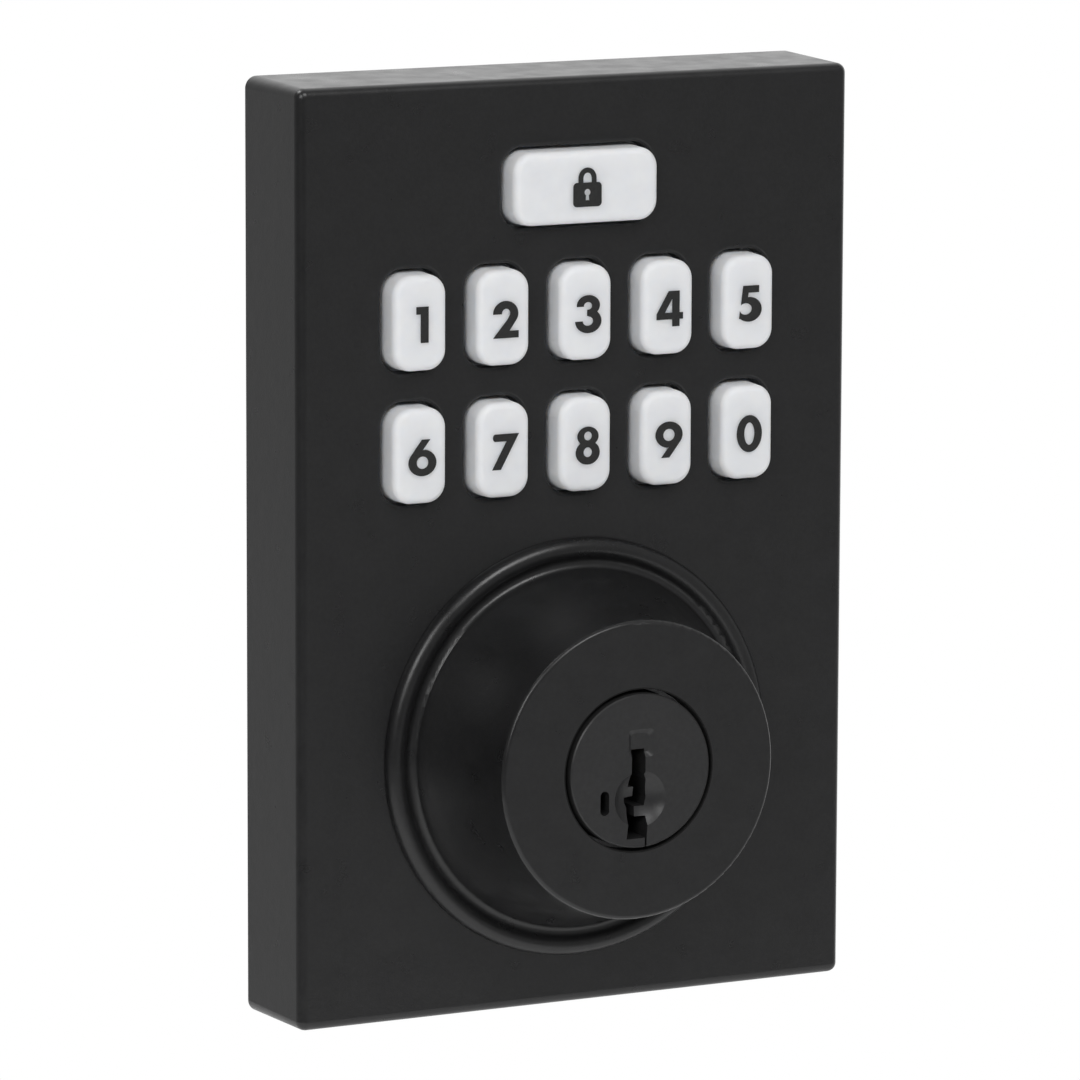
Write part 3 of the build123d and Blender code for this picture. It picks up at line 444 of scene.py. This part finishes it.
def flat_sheet(front_y):
    """The silicone sheet without its raised domes, closed where they stood."""
    mesh = frame["nodes"]["dome_sheet"].data.copy()
    shape = bmesh.new()
    shape.from_mesh(mesh)
    bmesh.ops.remove_doubles(shape, verts=shape.verts, dist=0.0005 * MM)
    tiny = 0.01 * MM
    raised = [face for face in shape.faces if min(vert.co.y for vert in face.verts) < front_y - tiny]
    bmesh.ops.delete(shape, geom=raised, context="FACES")
    rims = [edge for edge in shape.edges if edge.is_boundary]
    bmesh.ops.holes_fill(shape, edges=rims, sides=0)
    bmesh.ops.triangulate(shape, faces=[face for face in shape.faces if len(face.verts) > 4])
    shape.to_mesh(mesh)
    shape.free()
    sheet = add_piece("silicone_sheet", mesh, "lock_case")
    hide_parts("dome_sheet")


def dome_mesh(name, centre_x, front_y, centre_z):
    """A closed silicone dome: a short bell that stands on the sheet."""
    shape = bmesh.new()
    rings = []
    for radius, rise in DOME_PROFILE:
        ring = []
        for step in range(DOME_STEPS):
            angle = 2 * math.pi * step / DOME_STEPS
            across = radius * MM * math.cos(angle)
            up = radius * MM * math.sin(angle)
            ring.append(shape.verts.new((centre_x + across, front_y - rise * MM, centre_z + up)))
        rings.append(ring)
    for lower, upper in zip(rings, rings[1:]):
        for step in range(DOME_STEPS):
            after = (step + 1) % DOME_STEPS
            shape.faces.new((lower[step], lower[after], upper[after], upper[step]))
    shape.faces.new(rings[0])
    shape.faces.new(rings[-1])
    bmesh.ops.recalc_face_normals(shape, faces=shape.faces)
    mesh = bpy.data.meshes.new(name)
    shape.to_mesh(mesh)
    shape.free()
    return mesh


def yielding_domes(silicone):
    """The silicone sheet without its domes, and a separate silicone dome under each key."""
    low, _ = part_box("dome_sheet")
    front_y = low.y + DOME_RISE * MM
    flat_sheet(front_y)
    keys = [("key_" + digit, "press_" + digit) for digit in "1234567890"] + [("lock_button", "press_lock")]
    for node, joint in keys:
        low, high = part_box(node)
        centre_x = (low.x + high.x) / 2
        centre_z = (low.z + high.z) / 2
        mesh = dome_mesh("dome_of_" + node, centre_x, front_y, centre_z)
        mesh.materials.append(silicone)
        dome = add_piece("dome_of_" + node, mesh, "lock_case")
        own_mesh(dome)


# ---- studio
def make_camera():
    """Long lens aimed near the middle of the housing's front."""
    low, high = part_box("housing")
    key_low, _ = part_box("key_1")
    face_y = key_low.y + KEY_PROUD * MM
    target = Vector(((low.x + high.x) / 2, face_y, (low.z + high.z) / 2))
    forward = Vector((
        math.sin(VIEW_YAW) * math.cos(VIEW_PITCH),
        math.cos(VIEW_YAW) * math.cos(VIEW_PITCH),
        -math.sin(VIEW_PITCH),
    ))
    right = Vector((math.cos(VIEW_YAW), -math.sin(VIEW_YAW), 0.0))
    up = right.cross(forward)
    rolled_right = right * math.cos(VIEW_ROLL) + up * math.sin(VIEW_ROLL)
    rolled_up = up * math.cos(VIEW_ROLL) - right * math.sin(VIEW_ROLL)
    camera = bpy.data.objects.new("camera", bpy.data.cameras.new("camera"))
    bpy.context.scene.collection.objects.link(camera)
    place = target - forward * VIEW_DISTANCE + rolled_right * VIEW_RIGHT + rolled_up * VIEW_UP
    turn = Matrix((rolled_right, rolled_up, -forward)).transposed().to_4x4()
    camera.matrix_world = Matrix.Translation(place) @ turn
    camera.data.lens = LENS_MM
    camera.data.sensor_width = SENSOR_MM
    camera.data.clip_start = 0.01
    camera.data.clip_end = 50.0
    bpy.context.scene.camera = camera


def area_light(name, place, size, power):
    """A square soft light, in metres and watts, turned towards the lock."""
    light = bpy.data.lights.new(name, "AREA")
    light.size = size
    light.energy = power
    holder = bpy.data.objects.new(name, light)
    holder.location = place
    holder.rotation_euler = (Vector(LIGHT_AIM) - Vector(place)).to_track_quat("-Z", "Y").to_euler()
    bpy.context.scene.collection.objects.link(holder)


def surroundings():
    """White behind the lock and dimmer in front of it; the camera itself sees plain white."""
    world = bpy.data.worlds.new("studio")
    bpy.context.scene.world = world
    world.use_nodes = True
    tree = world.node_tree
    backdrop = tree.nodes["Background"]
    direction = tree.nodes.new("ShaderNodeTexCoord").outputs["Generated"]
    parts = tree.nodes.new("ShaderNodeSeparateXYZ")
    tree.links.new(direction, parts.inputs["Vector"])

    def ranged(source, limits, low, high):
        """Goes smoothly from low to high as the source crosses the limits."""
        start, end = limits
        node = tree.nodes.new("ShaderNodeMapRange")
        node.interpolation_type = "SMOOTHSTEP"
        for name, value in (("From Min", start), ("From Max", end)):
            node.inputs[name].default_value = value
        for name, value in (("To Min", low), ("To Max", high)):
            if isinstance(value, float):
                node.inputs[name].default_value = value
            else:
                tree.links.new(value, node.inputs[name])
        tree.links.new(source, node.inputs["Value"])
        return node.outputs["Result"]

    front = ranged(parts.outputs["X"], FRONT_BLEND, FRONT_LEFT, FRONT_RIGHT)
    behind = ranged(parts.outputs["X"], BEHIND_BLEND, BEHIND_LEFT, BEHIND_RIGHT)
    around = ranged(parts.outputs["Y"], DEPTH_BLEND, front, behind)
    seen = tree.nodes.new("ShaderNodeLightPath").outputs["Is Camera Ray"]
    level = tree.nodes.new("ShaderNodeMix")
    tree.links.new(seen, level.inputs["Factor"])
    tree.links.new(around, level.inputs[2])
    level.inputs[3].default_value = 1.0
    tree.links.new(level.outputs[0], backdrop.inputs["Strength"])
    backdrop.inputs["Color"].default_value = (1.0, 1.0, 1.0, 1.0)


def pale_floor():
    """A plain round floor below the lock."""
    floor_mesh = bpy.data.meshes.new("floor")
    corners = ring_of(0.0, 0.0, FLOOR_R, FLOOR_R)
    floor_mesh.from_pydata([(x, y, FLOOR_Z) for x, y in corners], [], [tuple(range(len(corners)))])
    floor = bpy.data.objects.new("floor", floor_mesh)
    bpy.context.scene.collection.objects.link(floor)
    shade = Shader("floor_white")
    shade.colour((0.93, 0.93, 0.93))
    shade.set(roughness=0.9)
    floor_mesh.materials.append(shade.material)


def studio():
    """Surroundings, floor and lights, shown without a film curve."""
    surroundings()
    pale_floor()
    for name, place, size, power in LIGHTS:
        area_light(name, place, size, power)
    bpy.context.scene.view_settings.view_transform = "Standard"


made = dress_nodes()
print_keys(ink())
yielding_springs()
yielding_domes(made["silicone"])
make_camera()
studio()
